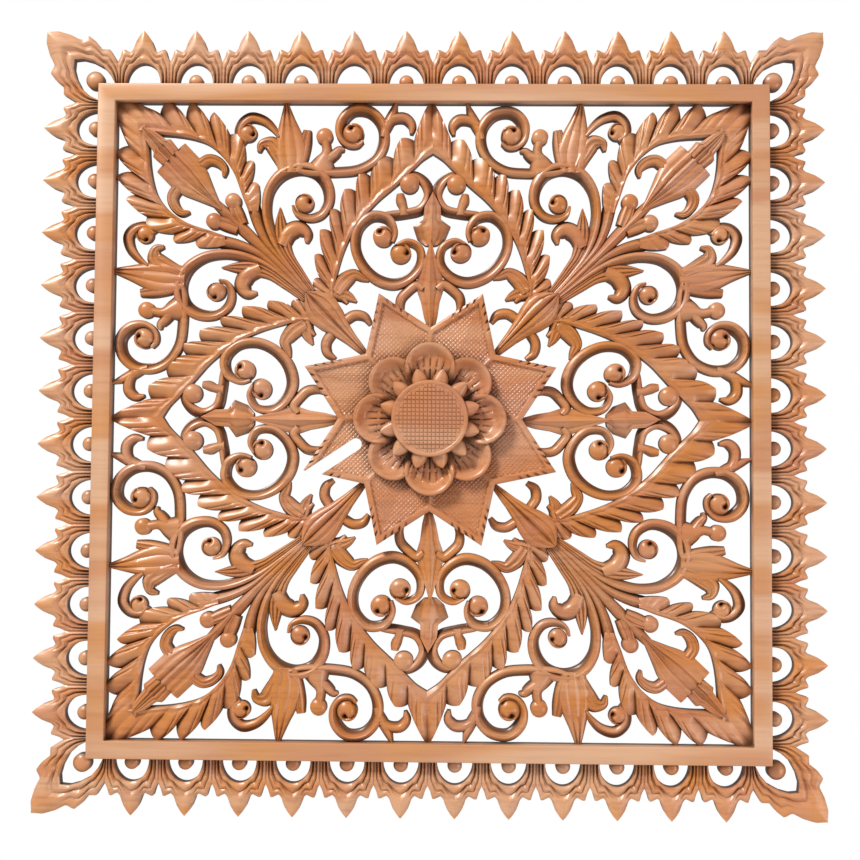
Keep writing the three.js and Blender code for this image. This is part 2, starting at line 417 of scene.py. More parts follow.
def fluted_drop(t: np.ndarray) -> np.ndarray:
    """Three flutes side by side."""
    return 0.30 * (2 * t - 1) ** 4 + 0.16 * (bump(t, 0.33, 0.08) + bump(t, 0.67, 0.08))


def lobe_drop(t: np.ndarray) -> np.ndarray:
    """A plain rounded back."""
    return 0.55 * np.abs(2 * t - 1) ** 2.4


def petal_drop(t: np.ndarray) -> np.ndarray:
    """A low ridge with steep sides."""
    side = np.abs(2 * t - 1)
    return 0.12 * side + 0.45 * side**6


class Section(Enum):
    """How a ribbon's front is carved, as a drop from its crest for each millimetre of width.

    Each value is a tuple, because a bare function would be taken for a method.
    """

    SCROLL = (scroll_drop,)
    STEM = (stem_drop,)
    LEAF = (leaf_drop,)
    FLUTED = (fluted_drop,)
    LOBE = (lobe_drop,)
    PETAL = (petal_drop,)

    def drop(self, t: np.ndarray) -> np.ndarray:
        """The drop at each column."""
        return self.value[0](t)


@dataclass
class Ribbon:
    """A carved band of changing width that follows a curve.

    Attributes:
        knots: x, z and width at each knot.
        rise: Height of the crest at the start and at the end.
        section: How the front is carved; its first edge lies on the right of the way along.
        flipped: Whether the first edge lies on the left instead.
        columns: How many columns its front has.
    """

    knots: Knots
    rise: tuple[float, float] = (16.0, 16.0)
    section: Section = Section.SCROLL
    flipped: bool = False
    columns: int = 12

    def solid(self) -> Solid:
        """Work out the closed solid.

        Returns:
            The solid.
        """
        path = path_through(self.knots, FINE)
        centre, width = path[:, :2], np.maximum(path[:, 2:3], NARROWEST)
        way = np.gradient(centre, axis=0)
        way /= np.hypot(*way.T)[:, None]
        side = np.column_stack([-way[:, 1], way[:, 0]]) * width / 2
        near, far = (centre + side, centre - side) if self.flipped else (centre - side, centre + side)
        even = np.linspace(0, 1, self.columns)
        t = CROWDED * (1 - np.cos(even * math.pi)) / 2 + (1 - CROWDED) * even
        crest = np.linspace(self.rise[0], self.rise[1], len(path))[:, None]
        heights = crest - self.section.drop(t)[None, :] * np.minimum(width, FULL_RIBBON)
        return strip(near, far, np.maximum(heights, LOWEST), t)


@dataclass
class Eye:
    """The rolled-up end of a scroll: a dome with a pit and a short spiral cut.

    Attributes:
        x: Place of the middle.
        z: Place of the middle.
        radius: Outer radius.
        pit: Direction of the pit from the middle, in degrees from +x towards +z, or None.
        rise: Height of the dome's top.
        turn: 1 where the cut winds outwards anticlockwise, -1 clockwise.
        points: How many corners a ring has.
        fall: Drop of the dome's edge, as a part of the radius.
        pit_place: Distance of the pit from the middle, as a part of the radius.
        pit_depth: Depth of the pit.
        cut_depth: Depth of the spiral cut.
    """

    x: float
    z: float
    radius: float
    pit: float | None = None
    rise: float = 17.0
    turn: int = 1
    points: int = 40
    fall: float = 0.42
    pit_place: float = 0.58
    pit_depth: float = 8.0
    cut_depth: float = 3.2

    def solid(self) -> Solid:
        """Work out the closed solid.

        Returns:
            The solid.
        """
        around = np.linspace(0, 2 * math.pi, self.points, endpoint=False)[None, :]
        part = np.array([0.12, 0.26, 0.4, 0.53, 0.65, 0.76, 0.86, 0.94, 1.0])[:, None]
        x = part * np.cos(around)
        z = part * np.sin(around)
        height = self.rise - self.fall * self.radius * part**2.6 + 0 * around
        if self.pit is not None:
            start = math.radians(self.pit)
            hole = np.hypot(x - self.pit_place * math.cos(start), z - self.pit_place * math.sin(start))
            height = height - self.pit_depth * bump(hole, 0.0, 0.24)
            swept = np.mod(self.turn * (around - start), 2 * math.pi)
            groove = self.pit_place + 0.4 * swept / math.pi
            height = height - self.cut_depth * bump(part, groove, 0.1) * (swept < math.pi)
        ring = np.stack([self.x + self.radius * x, self.z + self.radius * z, height], axis=2)
        return disc(ring)


@dataclass
class Blade:
    """A leaf that is the same on both sides of its midrib.

    Attributes:
        half: Outline of one half, from one end of the midrib to the other.
        diagonal: Whether the midrib lies on the corner's diagonal rather than on the upright axis.
        rise: Height of the crest at the start and at the end.
        drop: Drop from the crest at each column, in millimetres, for the widest ruling.
        columns: How many columns its front has.
    """

    half: Knots
    diagonal: bool
    rise: tuple[float, float]
    drop: Callable[[np.ndarray], np.ndarray]
    columns: int = 21

    def solid(self) -> Solid:
        """Work out the closed solid.

        Returns:
            The solid.
        """
        knots = np.asarray(self.half, float)
        lengths = np.hypot(*np.diff(knots, axis=0).T)
        rows = [knots[:1]]
        for start, end, length in zip(knots[:-1], knots[1:], lengths):
            u = np.linspace(0, 1, max(1, round(length / FINE)) + 1)[1:, None]
            rows.append(start + (end - start) * u)
        edge = np.concatenate(rows)
        other = across_diagonal(edge) if self.diagonal else across_axis(edge)
        gap = other - edge
        wide = np.hypot(*gap.T)[:, None]
        thin = wide[:, 0] < NARROWEST
        nudge = np.array([-0.45, 0.45]) if self.diagonal else np.array([-NARROWEST / 2, 0.0])
        edge[thin] = (edge[thin] + other[thin]) / 2 - nudge
        other[thin] = edge[thin] + 2 * nudge
        t = np.linspace(0, 1, self.columns)
        reach = np.concatenate(([0.0], np.cumsum(np.hypot(*np.diff(edge, axis=0).T))))
        crest = np.interp(reach / reach[-1], [0, 1], self.rise)[:, None]
        heights = crest - self.drop(t)[None, :] * np.clip(wide / FULL_LEAF, 0.15, 1.0)
        return strip(edge, other, np.maximum(heights, LOWEST), t)


def keel(t: np.ndarray) -> np.ndarray:
    """Two hollowed slopes that meet in a sharp keel, with a light vein each side."""
    side = np.abs(2 * t - 1)
    return 7.0 * side**0.8 + 1.2 * bump(side, 0.52, 0.1)


def channelled(t: np.ndarray) -> np.ndarray:
    """A deep middle vein with two flutes each side."""
    side = np.abs(2 * t - 1)
    return 4.2 * bump(side, 0.0, 0.13) + 2.6 * bump(side, 0.46, 0.1) + 5.5 * side**5


def veined(t: np.ndarray) -> np.ndarray:
    """A shallow hollow with a raised midrib and fine veins."""
    side = np.abs(2 * t - 1)
    return 3.4 * bump(side, 0.16, 0.1) + 2.4 * bump(side, 0.55, 0.09) + 5.0 * side**4


@dataclass
class ToothedLeaf:
    """A leaf band with a plain inner edge and overlapping teeth along the outer one.

    Attributes:
        inner: Knots of the plain edge.
        valleys: The foot of each tooth's short side, and the end of the last tooth.
        tips: The tip of each tooth.
        roots: Where each valley's groove meets the plain edge, as a part of its length.
        rise: Height of the crest.
        bulge: How far a tooth's long side swells.
        crest: How far along a tooth its highest line lies, as a part of its length.
        cut_depth: Depth of the cut between two teeth.
        edge_drop: How much lower the plain edge is than the crest.
        vein_depth: Depth of the vein that runs beside the plain edge.
        fall: Drop at the teeth's ends.
        columns: How many columns its front has.
    """

    inner: Knots
    valleys: Knots
    tips: Knots
    roots: Sequence[float]
    rise: float
    bulge: float
    crest: float = 0.3
    cut_depth: float = 5.6
    edge_drop: float = 2.4
    vein_depth: float = 1.3
    fall: float = 3.4
    columns: int = 22

    def outline(self) -> tuple[np.ndarray, np.ndarray, np.ndarray]:
        """Work out the toothed edge.

        Returns:
            The edge's points, how far along its tooth each one is, and where it is rooted.
        """
        outer, phase, root = [], [], []
        for k, tip in enumerate(self.tips):
            start, tip, end = (np.asarray(p, float) for p in (self.valleys[k], tip, self.valleys[k + 1]))
            short = np.hypot(*(tip - start))
            at_tip = self.crest if short > 0.5 else 0.0
            if short > 0.5:
                u = np.linspace(0, 1, max(3, round(short / FINE)) + 1)[:-1]
                lift = np.array([start[1] - tip[1], tip[0] - start[0]]) / short * self.bulge
                outer.append(start + (tip - start) * u[:, None] + lift * (4 * u * (1 - u))[:, None])
                phase.append(u * at_tip)
            chord = end - tip
            normal = np.array([-chord[1], chord[0]]) / np.hypot(*chord) * self.bulge
            u = np.linspace(0, 1, max(5, round(np.hypot(*chord) / FINE)) + 1)
            u = u if k == len(self.tips) - 1 else u[:-1]
            outer.append(tip + chord * u[:, None] + normal * (4 * u * (1 - u))[:, None])
            phase.append(at_tip + (1 - at_tip) * u)
            done = len(np.concatenate(phase))
            new = done - sum(len(r) for r in root)
            span = np.concatenate(phase)[-new:]
            root.append(self.roots[k] + (self.roots[k + 1] - self.roots[k]) * span)
        return np.concatenate(outer), np.concatenate(phase)[:, None], np.concatenate(root)

    def solid(self) -> Solid:
        """Work out the closed solid.

        Returns:
            The solid.
        """
        far, u, rooted = self.outline()
        near = along(path_through(self.inner, FINE), rooted)
        wide = np.hypot(*(far - near).T)[:, None]
        t = np.linspace(0, 1, self.columns)[None, :]
        up = np.clip(u / self.crest, 0, 1)
        down = np.clip((u - self.crest) / (1 - self.crest), 0, 1)
        cut = np.where(u < self.crest, (1 - up) ** 1.3, 0.22 * down**1.5 + 0.78 * down**9)
        cut = cut + 0.3 * bump(u, 0.5, 0.05) + 0.25 * bump(u, 0.76, 0.05)
        scale = np.clip(wide / FULL_LEAF, 0.25, 1.0)
        heights = (
            self.rise
            - self.cut_depth * cut * ease(t, 0.08, 0.55) * scale
            - self.edge_drop * (1 - ease(t, 0.0, 0.09))
            - self.vein_depth * bump(t, 0.2, 0.06) * scale
            - self.fall * t**4 * scale
        )
        return strip(near, far, np.maximum(heights, LOWEST + 1), t[0])


# ---------------------------------------------------------------------------------------------
# The foliage inside the rail
# ---------------------------------------------------------------------------------------------

SCROLL, STEM, LEAF = Section.SCROLL, Section.STEM, Section.LEAF
FLUTED, LOBE = Section.FLUTED, Section.LOBE


@dataclass(kw_only=True)
class Foliage(Carving):
    """The pierced scrolls and leaves, drawn once for an eighth of the square and repeated.

    Attributes:
        ogive: Half of the pointed leaf frame round the heart scrolls.
        corner: Half of the large leaf that fills the corner.
        scrolls: Rolled bands.
        stems: Bands that fan out from the calyx, with their leaves and bud.
        leaves: Leaves that grow from the scrolls.
        eyes: Rolled-up ends and round buds.
        upper_spear: Outer spear on the upright axis.
        lower_spear: Inner spear on the upright axis.
        calyx: Blunt leaf on the diagonal, which the stems grow from.
        corner_stem: Stem on the diagonal.
        inner_leaf: Lobed leaf on the diagonal, inside the corner leaf.
        inner_lobes: Curls at its sides.
        inner_eye: Round bud at its foot.
        variation: How far the hand strayed from the drawing.
    """

    ogive: ToothedLeaf = field(default_factory=lambda: ToothedLeaf(
        inner=[(0, 307), (12, 299), (22, 289), (35, 275), (47, 264), (60, 252), (72, 238), (84, 222),
               (93, 206), (100, 190), (106, 172), (110, 158), (112, 145), (110, 132)],
        valleys=[(0, 370), (22, 322), (46, 301), (72, 280), (87, 262), (104, 238), (114, 215),
                 (124, 188), (129, 162), (134, 136)],
        tips=[(0, 370), (37, 323), (62, 301), (84, 282), (100, 263), (115, 240), (127, 216),
              (134, 187), (136, 158)],
        roots=[0.0, 0.13, 0.3, 0.45, 0.57, 0.69, 0.8, 0.89, 0.95, 1.0],
        rise=16.5, bulge=1.7))
    corner: ToothedLeaf = field(default_factory=lambda: ToothedLeaf(
        inner=[(336, 326), (318, 326), (290, 325), (276, 323), (257, 317), (241, 304), (228, 286),
               (216, 254), (210, 238)],
        valleys=[(370, 370), (314, 352), (284, 348), (257, 344), (233, 330), (214, 297), (208, 272),
                 (199, 238)],
        tips=[(370, 370), (304, 366), (277, 366), (251, 354), (219, 327), (204, 297), (198, 270)],
        roots=[0.0, 0.27, 0.42, 0.56, 0.68, 0.8, 0.9, 1.0],
        rise=16.5, bulge=-1.7))
    scrolls: Sequence[Ribbon] = (
        # Main scroll, from the trunk round to its eye.
        Ribbon([(138, 144, 6), (157, 167, 7), (172, 188, 9), (184, 214, 11), (189, 240, 11),
                (185, 264, 12), (172, 281, 14), (152, 288, 15), (131, 282, 15), (119, 265, 14),
                (118, 247, 12), (128, 233, 11), (143, 230, 9), (155, 236, 6), (158, 244, 3)],
               (17, 16.5)),
        # Rail scroll, which turns the other way.
        Ribbon([(160, 288, 5), (142, 285, 11), (125, 284, 12), (108, 284, 12), (83, 288, 12), (65, 301, 12),
                (57, 320, 13), (60, 340, 13), (74, 354, 13), (93, 355, 13), (106, 341, 13),
                (106, 324, 10), (97, 315, 8), (87, 314, 5), (81, 319, 3)], (16, 16.5), flipped=True),
        # Heart scroll.
        Ribbon([(44, 205, 5), (42, 216, 8), (50, 231, 11), (66, 234, 12), (82, 221, 12),
                (86, 199, 12), (78, 178, 13), (61, 162, 14), (40, 157, 14), (22, 165, 12),
                (11, 181, 11), (14, 199, 9), (27, 205, 8), (38, 201, 5)], (16, 16), flipped=True),
        # Crown scroll.
        Ribbon([(36, 277, 5), (24, 283, 8), (10, 275, 12), (4, 259, 13), (12, 244, 12),
                (30, 238, 11), (50, 235, 10), (66, 232, 5)], (16, 13), flipped=True),
        # Curls beside the spear and the calyx.
        Ribbon([(8, 150, 10), (15, 155, 12), (26, 148, 12), (34, 139, 12), (35, 128, 10), (31, 119, 5)],
               (15.5, 13.5), LOBE),
        Ribbon([(106, 110, 11), (99, 115, 12), (88, 121, 12), (77, 119, 11), (70, 110, 6)],
               (16, 13.5), LOBE),
        # Small scroll by the rail.
        Ribbon([(176, 326, 4), (184, 337, 8), (196, 347, 11), (211, 350, 13), (221, 341, 12),
                (222, 327, 9), (214, 320, 6)], (15, 15)),
    )
    stems: Sequence[Ribbon] = (
        Ribbon([(140, 142, 5), (159, 165, 7), (176, 184, 9), (188, 199, 10), (198, 220, 13),
                (205, 246, 15), (209, 262, 12)], (17.5, 16), STEM),
        Ribbon([(136, 146, 6), (153, 170, 9), (165, 188, 12), (171, 205, 17), (173, 224, 13),
                (173, 242, 1.2)], (16.5, 13), FLUTED),
        Ribbon([(172, 198, 18), (163, 214, 21), (151, 218, 19), (142, 211, 13), (143, 201, 4)],
               (16, 14), LOBE),
        # Bud on the crown scroll.
        Ribbon([(32, 236, 14), (33, 245, 10), (36, 253, 12), (37, 260, 8)], (15, 16), LOBE),
    )
    leaves: Sequence[Ribbon] = (
        # Palmette under the rail.
        Ribbon([(161, 283, 28), (162, 303, 37), (165, 324, 31), (168, 345, 18), (170, 367, 4)],
               (17, 13), FLUTED),
        Ribbon([(152, 288, 12), (149, 305, 15), (147, 320, 15), (145, 333, 10)], (16, 12.5), LEAF),
        Ribbon([(168, 288, 14), (177, 306, 18), (187, 319, 18), (196, 318, 11), (199, 309, 4)],
               (16, 12.5), LEAF),
        # Knob leaf on the rail scroll.
        Ribbon([(128, 284, 38), (125, 296, 24), (122, 307, 12), (124, 320, 11)], (16, 16), LOBE),
        Ribbon([(124, 297, 16), (114, 304, 13), (106, 310, 8), (102, 309, 3)], (15.5, 13), LOBE),
        # Hooked leaf against the rail.
        Ribbon([(58, 324, 6), (54, 336, 12), (47, 350, 12), (41, 366, 3)], (16, 14), LOBE),
        Ribbon([(54, 340, 10), (43, 347, 12), (31, 347, 13), (24, 339, 11), (25, 329, 4)],
               (15.5, 14), LOBE),
        # Tail of the heart scroll.
        Ribbon([(110, 146, 18), (98, 161, 18), (87, 167, 13), (78, 163, 8), (71, 160, 2)],
               (16.5, 13), LEAF),
        Ribbon([(114, 147, 18), (103, 144, 17), (94, 141, 11), (86, 136, 3)], (16, 13), LEAF),
        # Tooth between the ogive and the heart scroll.
        Ribbon([(112, 150, 16), (104, 142, 12), (97, 134, 4)], (15.5, 13), LOBE),
    )
    eyes: Sequence[Eye] = (
        Eye(145, 247, 11, 170, 17, -1),
        Eye(92, 328, 12, 60, 17, 1),
        Eye(54, 211, 12, 50, 17, 1),
        Eye(34, 192, 12, 180, 17.5, -1),
        Eye(27, 272, 11, None, 18.5),
        Eye(212, 331, 10, 200, 16.5, -1),
        Eye(125, 325, 9.5, None, 17),
    )

    upper_spear: Blade = field(default_factory=lambda: Blade(
        [(0, 262), (9, 246), (10, 231), (21, 223), (16, 209), (7, 201), (0, 200)], False, (17.5, 16),
        keel))
    lower_spear: Blade = field(default_factory=lambda: Blade(
        [(0, 207), (6, 186), (14, 163), (17, 154), (11, 136), (8, 118), (4, 104), (4, 74)], False,
        (18.5, 17), keel))
    calyx: Blade = field(default_factory=lambda: Blade(
        [(56, 59), (72, 77), (80, 88), (88, 99), (96, 112), (103, 127), (110, 138), (118, 144),
         (129, 146), (139, 145), (144, 144)], True, (16, 22), channelled))
    corner_stem: Ribbon = field(default_factory=lambda: Ribbon(
        [(140, 140, 7), (180, 180, 9), (203, 203, 13), (225, 225, 15), (244, 244, 12), (256, 256, 9)],
        (18.5, 17), STEM))
    inner_leaf: Blade = field(default_factory=lambda: Blade(
        [(240, 242), (246, 254), (253, 272), (258, 286), (264, 298), (270, 304), (283, 317),
         (290, 309), (296, 316), (300, 321), (305, 320), (318, 329), (331, 333)], True, (17, 20.5),
        veined))
    inner_lobes: Sequence[Ribbon] = (
        Ribbon([(266, 294, 13), (256, 300, 13), (245, 297, 12), (238, 289, 9), (239, 280, 3)],
               (17, 14), LEAF),
        Ribbon([(218, 223, 14), (224, 236, 17), (228, 247, 15)], (16.5, 16), LEAF),
    )
    inner_eye: Eye = field(default_factory=lambda: Eye(228, 251, 9.5, None, 17))
    variation: float = 1.4

    def eighth(self) -> list[Solid]:
        """Work out what repeats eight times.

        Returns:
            The solids, in their first place.
        """
        forms = [self.ogive, self.corner, *self.scrolls, *self.stems, *self.leaves, *self.eyes,
                 *self.inner_lobes, self.inner_eye]
        return [form.solid() for form in forms]

    def quarter(self) -> list[Solid]:
        """Work out what is the same on both sides of its own axis, and repeats four times.

        Returns:
            The solids, in their first place.
        """
        forms = [self.upper_spear, self.lower_spear, self.calyx, self.corner_stem, self.inner_leaf]
        return [form.solid() for form in forms]

    def build(self) -> list[bpy.types.Object]:
        """Carve the four quarters.

        Returns:
            The quarters, clockwise from the top.
        """
        sided, centred = self.eighth(), self.quarter()
        made = []
        for turns, name in enumerate(SIDES):
            solids = [s.placed(turns, flip) for flip in (False, True) for s in sided]
            solids += [s.placed(turns, False) for s in centred]
            made.append(welded(f"foliage_{name}", [s.by_hand(self.variation) for s in solids]))
        return made


# ---------------------------------------------------------------------------------------------
# The rail and the fringe
# ---------------------------------------------------------------------------------------------


@dataclass(kw_only=True)
class Rail(Carving):
    """The plain square rail, the highest part of the slab.

    Attributes:
        depth: Height of its front above the flat back.
        width: Width of its front.
        arris: How far its edges are rounded.
    """

    depth: float
    width: float = 20.0
    arris: float = 1.3

    def build(self) -> list[bpy.types.Object]:
        """Inset a square plate, take its middle out and round its edges.

        Returns:
            The rail.
        """
        bpy.ops.object.select_all(action="DESELECT")
        bpy.ops.mesh.primitive_plane_add(size=2 * RAIL_HALF * MM, rotation=(math.pi / 2, 0, 0))
        rail = bpy.context.object
        rail.name = "rail"
        bpy.ops.object.transform_apply(location=False, rotation=True, scale=False)
        bpy.ops.object.mode_set(mode="EDIT")
        bpy.ops.mesh.inset(thickness=self.width * MM)
        bpy.ops.mesh.delete(type="FACE")
        bpy.ops.mesh.select_all(action="SELECT")
        bpy.ops.mesh.extrude_region_move(TRANSFORM_OT_translate={"value": (0, -self.depth * MM, 0)})
        bpy.ops.mesh.select_all(action="SELECT")
        bpy.ops.mesh.normals_make_consistent(inside=False)
        bpy.ops.object.mode_set(mode="OBJECT")
        select_only(rail)
        bpy.ops.object.modifier_add(type="BEVEL")
        rail.modifiers[-1].width = self.arris * MM
        rail.modifiers[-1].segments = 3
        bpy.ops.object.modifier_apply(modifier=rail.modifiers[-1].name)
        smoothed(rail)
        return [rail]


@dataclass(kw_only=True)
class Fringe(Carving):
    """The leaf fringe outside the rail: a row of arched leaves a side and a larger one at each corner.

    Attributes:
        motifs: Leaves along one side.
        pitch: Distance between two leaves.
        rise: Height of the crests.
        arch_half: Half the width of a leaf's opening.
        arch_top: Height of the opening above its straight foot.
        arch_foot: Height of that foot.
        sunk: How far the leaves run in under the rail.
        bead_radius: Radius of a bead in a leaf's opening.
        bead_place: Distance of its middle from the rail.
        corner_bead_radius: Radius of the bead in the corner leaf.
        corner_bead_place: Its middle, along each side.
        rulings: Rulings in half a leaf.
        columns: How many columns a leaf's front has.
        lost: Side and place, from the left, of each bead that has been lost.
    """

    motifs: int = 12
    pitch: float = 60.8
    rise: float = 15.5
    arch_half: float = 20.0
    arch_top: float = 25.0
    arch_foot: float = 2.0
    sunk: float = 3.0
    bead_radius: float = 8.2
    bead_place: float = 5.2
    corner_bead_radius: float = 10.5
    corner_bead_place: float = 391.0
    rulings: int = 44
    columns: int = 15
    lost: Sequence[tuple[int, int]] = ((0, 0), (0, 4))

    def motif_leaf(self) -> Solid:
        """Rule one arched leaf, standing on the rail at z = 0.

        Returns:
            The whole leaf.
        """
        turn = np.linspace(0, math.pi / 2, 20)
        arch = np.column_stack([self.arch_half * np.cos(turn),
                                self.arch_foot + self.arch_top * np.sin(turn)])
        arch = np.concatenate([[(self.arch_half, -self.sunk)], arch])
        edge = np.array([(30.6, -3), (30.6, 12), (30.6, 28), (27.5, 34), (25, 42.5), (22.5, 43), (19, 41),
                         (15.5, 39.5), (12.5, 43), (11, 47.5), (8.6, 53.5), (4.6, 59.5), (0, 64.6)], float)
        return self.ruled(arch, edge, across_axis)

    def corner_leaf(self) -> Solid:
        """Rule the corner leaf, whose midrib is the corner's diagonal.

        Returns:
            The whole leaf.
        """
        arch = np.array([(366, 381), (367, 386), (372, 396), (381, 406), (394, 413), (405, 416),
                         (411, 415.5), (415, 415)], float)
        edge = np.array([(364, 381), (362, 392), (362, 404), (366, 414), (374, 427), (383, 427),
                         (390, 436), (399, 443), (408, 438), (420, 444), (434, 448), (445, 447),
                         (447.2, 447.2)], float)
        return self.ruled(arch, edge, across_diagonal)

    def ruled(self, arch: np.ndarray, edge: np.ndarray, mirror: Mirror) -> Solid:
        """Rule a leaf between its arch and its outline, both halves at once.

        Args:
            arch: The opening's edge, from the foot to the axis.
            edge: The leaf's outline, from the foot to the tip.
            mirror: Mirrors points in the leaf's own axis.

        Returns:
            The closed leaf.
        """
        rows = np.linspace(0, 1, self.rulings)
        near, far = along(arch, rows), along(edge, rows)
        near = np.concatenate([near, mirror(near)[-2::-1]])
        far = np.concatenate([far, mirror(far)[-2::-1]])
        u = np.concatenate([rows, rows[-2::-1]])[:, None]
        t = np.linspace(0, 1, self.columns)[None, :]
        wide = np.clip(np.hypot(*(far - near).T) / 20.0, 0.3, 1.4)[:, None]
        heights = (
            self.rise
            - 2.2 * (1 - ease(t, 0.0, 0.1))
            - 3.4 * bump(t, 0.3, 0.09)
            - 2.4 * bump(t, 0.64, 0.08) * ease(1 - u, 0.12, 0.4)
            - 3.6 * t**3
            + 1.2 * bump(u, 1.0, 0.12) * t * wide
        )
        return strip(near, far, heights, t[0])

    def bead(self, x: float, z: float, radius: float) -> Solid:
        """Make a round bead for the foot of an arch."""
        return Eye(x, z, radius, None, self.rise - 1.0).solid()

    def build(self) -> list[bpy.types.Object]:
        """Carve the four sides.

        Returns:
            The sides, clockwise from the top.
        """
        motif, corner = self.motif_leaf(), self.corner_leaf()
        made = []
        for side, name in enumerate(SIDES):
            solids = []
            for k in range(self.motifs):
                x = (k - (self.motifs - 1) / 2) * self.pitch
                solids.append(Solid(motif.points + (x, RAIL_HALF, 0), motif.faces))
                if (side, k) not in self.lost:
                    solids.append(self.bead(x, RAIL_HALF + self.bead_place, self.bead_radius))
            place = self.corner_bead_place
            solids += [corner, self.bead(place, place, self.corner_bead_radius)]
            made.append(welded(f"fringe_{name}", [s.placed(side, False) for s in solids]))
        return made


# ---------------------------------------------------------------------------------------------
# The ground and the lotus
# ---------------------------------------------------------------------------------------------


@dataclass(kw_only=True)
class Ground(Carving):
    """The plain round ground in the middle of the slab, which carries the lotus.

    Attributes:
        lotus_back: Height of the lotus's flat back.
        gap: How far the ground stays below it.
        radius: The ground's radius.
        points: Corners of its edge.
    """

    lotus_back: float
    gap: float = 0.5
    radius: float = 78.0
    points: int = 72

    def build(self) -> list[bpy.types.Object]:
        """Make the ground.

        Returns:
            The ground.
        """
        around = np.linspace(0, 2 * math.pi, self.points, endpoint=False)
        ring = np.stack([self.radius * np.cos(around), self.radius * np.sin(around),
                         np.full(self.points, self.lotus_back - self.gap)], axis=1)
        return [welded("hub", [disc(np.array([ring * (0.5, 0.5, 1.0), ring]))])]


